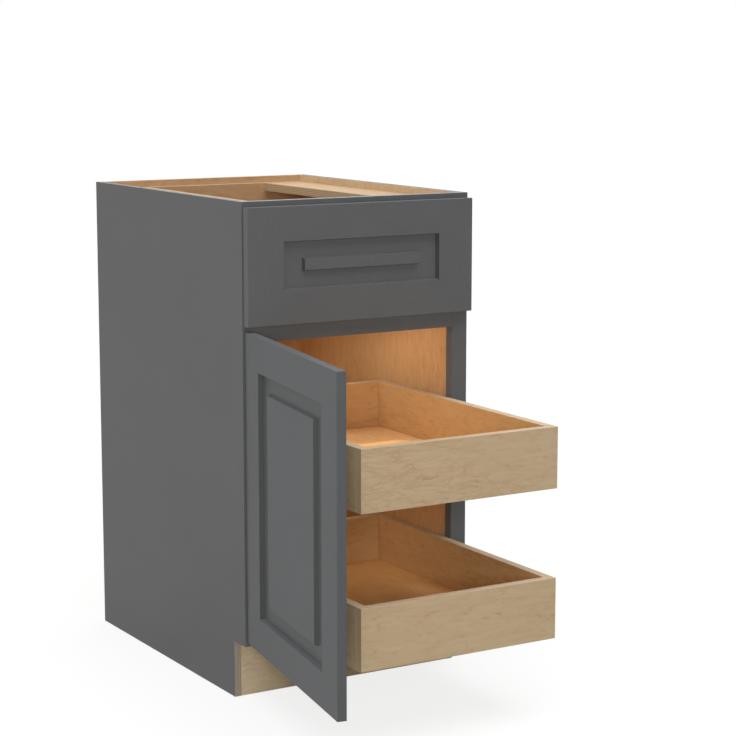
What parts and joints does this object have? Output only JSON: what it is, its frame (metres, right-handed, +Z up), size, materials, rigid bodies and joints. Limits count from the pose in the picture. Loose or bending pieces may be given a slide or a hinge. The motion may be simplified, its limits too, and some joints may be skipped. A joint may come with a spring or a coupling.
{
  "type": "kitchen base cabinet",
  "caption": "Framed kitchen base cabinet in grey with a top drawer, a raised-panel door and roll-out trays behind it, plus a slotted knife insert.",
  "frame": {"origin": "on the floor, in the plane of the wall, halfway along the width", "axes": "+Z up, +Y towards the wall, +X to the right seen from the front"},
  "size_m": [0.533, 1.0629, 0.8763],
  "materials": {
    "painted_wood": "satin grey paint",
    "side_panels": "grey paint outside, clear lacquered maple veneer inside",
    "plywood": "clear lacquered maple plywood",
    "maple": "clear lacquered maple",
    "zinc_steel": "zinc plated",
    "screw_steel": "zinc plated",
    "bumper_rubber": "soft translucent"
  },
  "bodies": {
    "carcass": {"left_side_panel": "side_panels", "right_side_panel": "side_panels", "back_panel": "plywood", "bottom_panel": "plywood", "toe_board": "plywood", "left_stile": "painted_wood", "right_stile": "painted_wood", "top_rail": "painted_wood", "middle_rail": "painted_wood", "bottom_rail": "painted_wood", "left_top_brace": "plywood", "right_top_brace": "plywood", "back_nailer": "plywood", "drawer_slide_cleats": "maple", "upper_tray_slide_cleats": "maple", "lower_tray_slide_cleats": "maple", "drawer_outer_rails": "zinc_steel", "upper_tray_outer_rails": "zinc_steel", "lower_tray_outer_rails": "zinc_steel", "hinge_plates": "zinc_steel", "hinge_arms": "zinc_steel", "mounting_screws": "screw_steel", "cleat_screws": "screw_steel"},
    "door": {"door_left_stile": "painted_wood", "door_right_stile": "painted_wood", "door_top_rail": "painted_wood", "door_bottom_rail": "painted_wood", "door_panel": "painted_wood", "hinge_cups": "zinc_steel", "door_bumpers": "bumper_rubber"},
    "drawer": {"drawer_front_left_stile": "painted_wood", "drawer_front_right_stile": "painted_wood", "drawer_front_top_rail": "painted_wood", "drawer_front_bottom_rail": "painted_wood", "drawer_front_panel": "painted_wood", "drawer_box_front": "maple", "drawer_box_back": "maple", "drawer_box_left": "maple", "drawer_box_right": "maple", "drawer_box_bottom": "plywood", "drawer_inner_rails": "zinc_steel", "drawer_front_screws": "screw_steel", "insert_base_board": "plywood", "insert_slats": "maple", "insert_rail": "maple"},
    "drawer_middle": {"drawer_middle_rails": "zinc_steel"},
    "upper_tray": {"upper_tray_front": "maple", "upper_tray_back": "maple", "upper_tray_left": "maple", "upper_tray_right": "maple", "upper_tray_bottom": "plywood", "upper_tray_inner_rails": "zinc_steel"},
    "upper_tray_middle": {"upper_tray_middle_rails": "zinc_steel"},
    "lower_tray": {"lower_tray_front": "maple", "lower_tray_back": "maple", "lower_tray_left": "maple", "lower_tray_right": "maple", "lower_tray_bottom": "plywood", "lower_tray_inner_rails": "zinc_steel"},
    "lower_tray_middle": {"lower_tray_middle_rails": "zinc_steel"}
  },
  "joints": [
    {"name": "door_hinge", "type": "hinge", "parent": "carcass", "child": "door", "pos_m": [-0.22, -0.6211, 0.38245], "axis": [0, 0, -1], "range_deg": [-11, 5]},
    {"name": "drawer_slide", "type": "slide", "parent": "carcass", "child": "drawer", "axis": [0, -1, 0], "range_m": [0, 0.532]},
    {"name": "drawer_middle_slide", "type": "slide", "parent": "carcass", "child": "drawer_middle", "axis": [0, -1, 0], "range_m": [0, 0.266]},
    {"name": "upper_tray_slide", "type": "slide", "parent": "carcass", "child": "upper_tray", "axis": [0, -1, 0], "range_m": [-0.337, 0.195]},
    {"name": "upper_tray_middle_slide", "type": "slide", "parent": "carcass", "child": "upper_tray_middle", "axis": [0, -1, 0], "range_m": [-0.1685, 0.0975]},
    {"name": "lower_tray_slide", "type": "slide", "parent": "carcass", "child": "lower_tray", "axis": [0, -1, 0], "range_m": [-0.337, 0.195]},
    {"name": "lower_tray_middle_slide", "type": "slide", "parent": "carcass", "child": "lower_tray_middle", "axis": [0, -1, 0], "range_m": [-0.1685, 0.0975]}
  ],
  "couplings": [
    {"joint": "drawer_middle_slide", "follows": "drawer_slide", "ratio": 0.5},
    {"joint": "upper_tray_middle_slide", "follows": "upper_tray_slide", "ratio": 0.5},
    {"joint": "lower_tray_middle_slide", "follows": "lower_tray_slide", "ratio": 0.5}
  ]
}
